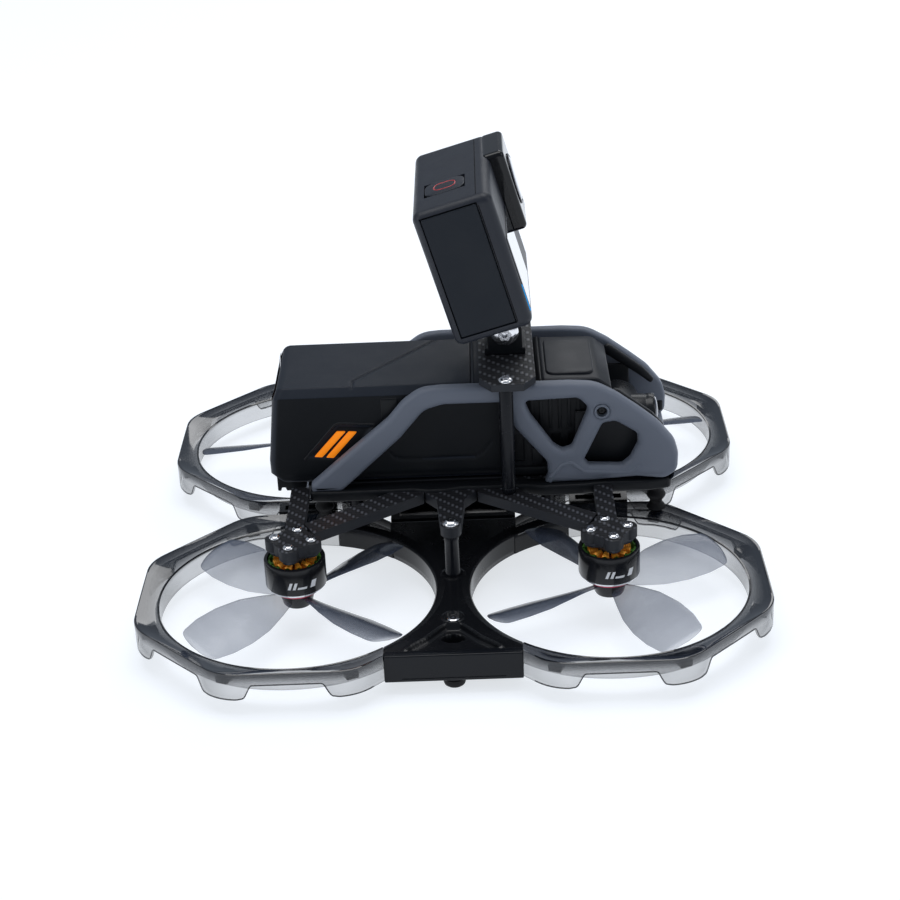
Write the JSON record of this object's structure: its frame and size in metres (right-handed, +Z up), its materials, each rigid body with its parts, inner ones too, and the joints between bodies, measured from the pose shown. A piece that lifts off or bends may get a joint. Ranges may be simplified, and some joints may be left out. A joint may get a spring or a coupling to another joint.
{
  "type": "fpv racing drone",
  "caption": "Ducted quadcopter with clear smoked propeller ducts, carbon plate, slate side cage, sliding battery, tilting nose camera and an action camera on a tilting crossbar mount.",
  "frame": {"origin": "under the centre of the four ducts, on the surface that the rubber feet stand on", "axes": "+X forward, +Y to the drone's left, +Z up"},
  "size_m": [0.203, 0.2132, 0.1389],
  "materials": {
    "smoked_duct": "clear smoke-grey moulded duct, glossy",
    "black_bridge": "glossy black moulding",
    "carbon": "woven carbon fibre plate, satin",
    "rubber": "soft black rubber",
    "black_anodised": "black anodised aluminium",
    "steel": "bright button-head screws",
    "motor_black": "black anodised motor can",
    "copper": "enamelled copper wire",
    "prop_clear": "translucent pale blue-grey polycarbonate",
    "cage_grey": "slate grey moulded nylon, satin",
    "core_black": "matt black moulding",
    "cover_grey": "dark grey satin moulding",
    "battery_black": "black battery case, fine satin grain",
    "pcb": "solder-masked circuit board",
    "camera_grey": "dark slate rubberised camera case",
    "camera_black": "gloss black lens housing",
    "lens_glass": "coated lens glass",
    "screen_glass": "front display behind glass"
  },
  "bodies": {
    "airframe": {"duct_ring_front_left": "smoked_duct", "motor_base_front_left": "motor_black", "windings_front_left": "copper", "duct_ring_front_right": "smoked_duct", "motor_base_front_right": "motor_black", "windings_front_right": "copper", "duct_ring_rear_left": "smoked_duct", "motor_base_rear_left": "motor_black", "windings_rear_left": "copper", "duct_ring_rear_right": "smoked_duct", "motor_base_rear_right": "motor_black", "windings_rear_right": "copper", "side_bridge_left": "black_bridge", "side_bridge_right": "black_bridge", "end_bridge_front": "black_bridge", "end_bridge_rear": "black_bridge", "duct_hub": "black_bridge", "landing_feet": "rubber", "main_plate": "carbon", "motor_screws": "steel", "frame_screws": "steel", "centre_posts": "black_anodised", "lower_posts": "black_anodised", "dampers": "rubber", "power_board": "pcb", "board_spacers": "black_anodised", "body_cage": "cage_grey", "cage_screws": "black_anodised", "electronics_core": "core_black", "top_cover": "cover_grey", "gimbal_fork": "core_black", "battery_tray": "core_black", "standoffs": "black_anodised", "crossbar": "carbon", "tilt_mount": "core_black", "tilt_bolt": "steel", "tilt_nut": "steel"},
    "rotor_front_left": {"motor_bell_front_left": "motor_black", "propeller_front_left": "prop_clear"},
    "rotor_front_right": {"motor_bell_front_right": "motor_black", "propeller_front_right": "prop_clear"},
    "rotor_rear_left": {"motor_bell_rear_left": "motor_black", "propeller_rear_left": "prop_clear"},
    "rotor_rear_right": {"motor_bell_rear_right": "motor_black", "propeller_rear_right": "prop_clear"},
    "battery": {"battery_case": "battery_black"},
    "latch_left": {"battery_latch_left": "core_black"},
    "latch_right": {"battery_latch_right": "core_black"},
    "power_button": {"power_button": "core_black"},
    "action_camera": {"camera_body": "camera_grey", "camera_bezel": "camera_grey", "camera_lens_housing": "camera_black", "camera_lens_glass": "lens_glass", "camera_screen": "screen_glass"},
    "shutter_button": {"shutter_button": "camera_grey"},
    "mode_button": {"mode_button": "camera_grey"},
    "camera_door": {"camera_door": "camera_grey"},
    "gimbal_camera": {"gimbal_camera": "core_black", "gimbal_lens": "lens_glass"}
  },
  "joints": [
    {"name": "front_left_spin", "type": "hinge", "parent": "airframe", "child": "rotor_front_left", "pos_m": [0.05056, 0.05565, 0.015], "axis": [0, 0, 1], "continuous": true},
    {"name": "front_right_spin", "type": "hinge", "parent": "airframe", "child": "rotor_front_right", "pos_m": [0.05056, -0.05565, 0.015], "axis": [0, 0, 1], "continuous": true},
    {"name": "rear_left_spin", "type": "hinge", "parent": "airframe", "child": "rotor_rear_left", "pos_m": [-0.05056, 0.05565, 0.015], "axis": [0, 0, 1], "continuous": true},
    {"name": "rear_right_spin", "type": "hinge", "parent": "airframe", "child": "rotor_rear_right", "pos_m": [-0.05056, -0.05565, 0.015], "axis": [0, 0, 1], "continuous": true},
    {"name": "battery_slide", "type": "slide", "parent": "airframe", "child": "battery", "axis": [-1, 0, 0], "range_m": [0, 0.08]},
    {"name": "latch_left_press", "type": "slide", "parent": "battery", "child": "latch_left", "axis": [0, -1, 0], "range_m": [0, 0.001], "stiffness_N_per_m": 900},
    {"name": "latch_right_press", "type": "slide", "parent": "battery", "child": "latch_right", "axis": [0, 1, 0], "range_m": [0, 0.001], "stiffness_N_per_m": 900},
    {"name": "power_button_press", "type": "slide", "parent": "battery", "child": "power_button", "axis": [1, 0, 0], "range_m": [0, 0.0006], "stiffness_N_per_m": 900},
    {"name": "camera_tilt", "type": "hinge", "parent": "airframe", "child": "action_camera", "pos_m": [0.0198, 0, 0.0813], "axis": [0, -1, 0], "range_deg": [-45, 45]},
    {"name": "shutter_press", "type": "slide", "parent": "action_camera", "child": "shutter_button", "axis": [0.2723, 0, -0.9622], "range_m": [0, 0.0006], "stiffness_N_per_m": 900},
    {"name": "mode_press", "type": "slide", "parent": "action_camera", "child": "mode_button", "axis": [0, -1, 0], "range_m": [0, 0.0006], "stiffness_N_per_m": 900},
    {"name": "camera_door_hinge", "type": "hinge", "parent": "action_camera", "child": "camera_door", "pos_m": [0.01667, -0.0305, 0.09237], "axis": [0.9622, 0, 0.2723], "range_deg": [0, 100]},
    {"name": "gimbal_tilt", "type": "hinge", "parent": "airframe", "child": "gimbal_camera", "pos_m": [0.058, 0, 0.0465], "axis": [0, -1, 0], "range_deg": [-12, 60]}
  ]
}
